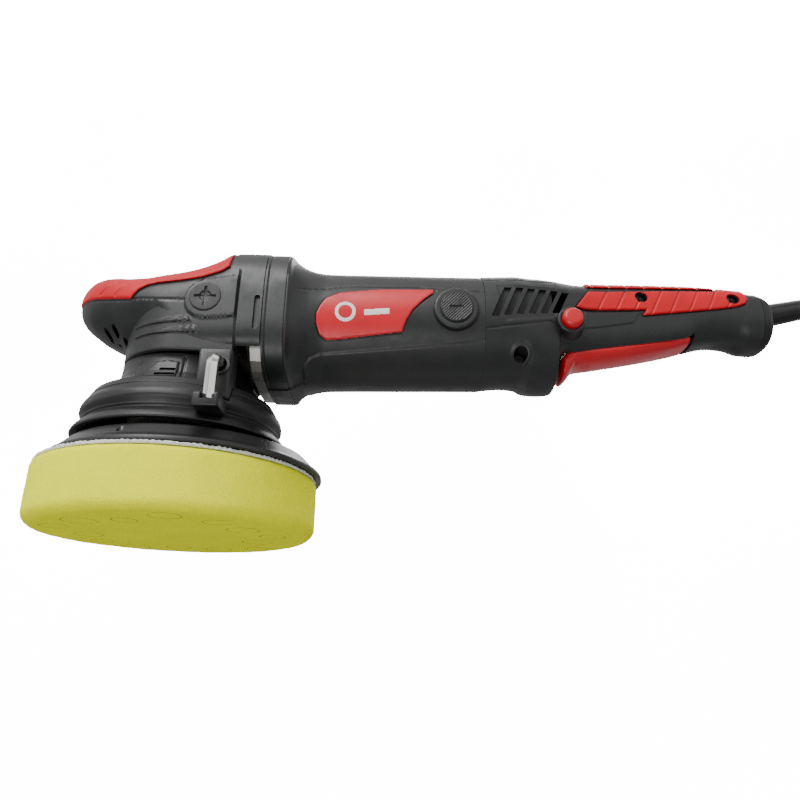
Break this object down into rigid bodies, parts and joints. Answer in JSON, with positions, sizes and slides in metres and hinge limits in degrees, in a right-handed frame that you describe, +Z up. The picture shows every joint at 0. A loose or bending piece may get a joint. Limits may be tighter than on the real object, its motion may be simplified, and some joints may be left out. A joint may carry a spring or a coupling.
{
  "type": "dual action polisher",
  "caption": "Corded random-orbit polisher: foam pad on an eccentric, angle gear head, barrel motor, handle with lever trigger, lock button and cord.",
  "frame": {"origin": "on the gear head's spindle axis, in the plane of the pad's working face", "axes": "+Z up along the spindle, +X back along the motor to the handle, +Y to the machine's right seen from behind the handle"},
  "size_m": [0.6848, 0.1888, 0.1725],
  "materials": {
    "casting": "bead-blasted casting",
    "bearing_steel": "ground",
    "shaft_steel": "machined",
    "charcoal_plastic": "fine spark-eroded texture",
    "inner_plastic": "moulded",
    "black_rubber": "satin",
    "backing_plate": "satin moulded",
    "cord_rubber": "smooth",
    "red_grip": "satin soft grip",
    "red_plastic": "satin",
    "label": "printed film",
    "foam": "open-cell foam",
    "loop_fabric": "brushed loop",
    "chrome_key": "polished",
    "copper": "turned",
    "brass": "pressed",
    "carbon": "matte",
    "circuit_board": "coated",
    "screw_steel": "black oxide"
  },
  "bodies": {
    "machine": {"gearbox_housing": "casting", "spindle_bearing_lower": "bearing_steel", "spindle_bearing_upper": "bearing_steel", "neck_housing": "charcoal_plastic", "skirt_boot": "black_rubber", "head_cover": "charcoal_plastic", "head_grip": "red_grip", "side_plug_left": "black_rubber", "side_plug_right": "black_rubber", "key_clip": "black_rubber", "motor_housing": "charcoal_plastic", "motor_bearing_front": "bearing_steel", "motor_bearing_rear": "bearing_steel", "stator": "shaft_steel", "label_left": "label", "label_right": "label", "brush_cap_left": "charcoal_plastic", "brush_cap_right": "charcoal_plastic", "brush_holder_left": "brass", "brush_holder_right": "brass", "carbon_brush_left": "carbon", "carbon_brush_right": "carbon", "handle_shell_left": "charcoal_plastic", "handle_shell_right": "charcoal_plastic", "handle_screw_1": "screw_steel", "handle_screw_2": "screw_steel", "handle_screw_3": "screw_steel", "grip_left": "red_grip", "grip_right": "red_grip", "grip_crown": "red_grip", "trigger_pin": "shaft_steel", "switch_body": "inner_plastic", "control_board": "circuit_board", "end_cap": "black_rubber", "strain_relief": "black_rubber", "cord": "cord_rubber", "cord_coil": "cord_rubber", "coil_tie": "black_rubber", "plug": "cord_rubber"},
    "drive": {"main_spindle": "shaft_steel", "crown_gear": "shaft_steel", "eccentric_carrier": "casting", "counterweight": "casting", "pad_bearing_lower": "bearing_steel", "pad_bearing_upper": "bearing_steel"},
    "pad": {"pad_spindle": "shaft_steel", "plate_bolt": "shaft_steel", "backing_plate": "backing_plate", "pad_loop_layer": "loop_fabric", "foam_pad": "foam"},
    "rotor": {"pinion": "shaft_steel", "motor_shaft": "shaft_steel", "fan": "inner_plastic", "armature_core": "shaft_steel", "commutator": "copper"},
    "trigger": {"trigger": "red_plastic"},
    "lock_button": {"lock_button": "red_plastic"},
    "speed_dial": {"speed_dial": "black_rubber"},
    "hex_key": {"hex_key": "chrome_key"}
  },
  "joints": [
    {"name": "spindle_spin", "type": "hinge", "parent": "machine", "child": "drive", "pos_m": [0, 0, 0.1], "axis": [0, 0, 1], "continuous": true},
    {"name": "pad_spin", "type": "hinge", "parent": "drive", "child": "pad", "pos_m": [0.0019, 0.00725, 0.06], "axis": [0, 0, 1], "continuous": true},
    {"name": "rotor_spin", "type": "hinge", "parent": "machine", "child": "rotor", "pos_m": [0.1, 0, 0.13], "axis": [1, 0, 0], "continuous": true},
    {"name": "trigger_press", "type": "hinge", "parent": "machine", "child": "trigger", "pos_m": [0.303, 0, 0.127], "axis": [0, 1, 0], "range_deg": [0, 5], "stiffness_Nm_per_rad": 1.2, "springref_deg": -8.59},
    {"name": "lock_button_press", "type": "slide", "parent": "machine", "child": "lock_button", "axis": [0, 1, 0], "range_m": [0, 0.0035], "stiffness_N_per_m": 300, "springref_m": -0.004},
    {"name": "speed_dial_turn", "type": "hinge", "parent": "machine", "child": "speed_dial", "pos_m": [0.214, 0, 0.157], "axis": [0, 1, 0], "range_deg": [0, 270]},
    {"name": "hex_key_slide", "type": "slide", "parent": "machine", "child": "hex_key", "axis": [0, -1, 0], "range_m": [0, 0.035]}
  ],
  "couplings": [
    {"joint": "rotor_spin", "follows": "spindle_spin", "ratio": 4}
  ]
}
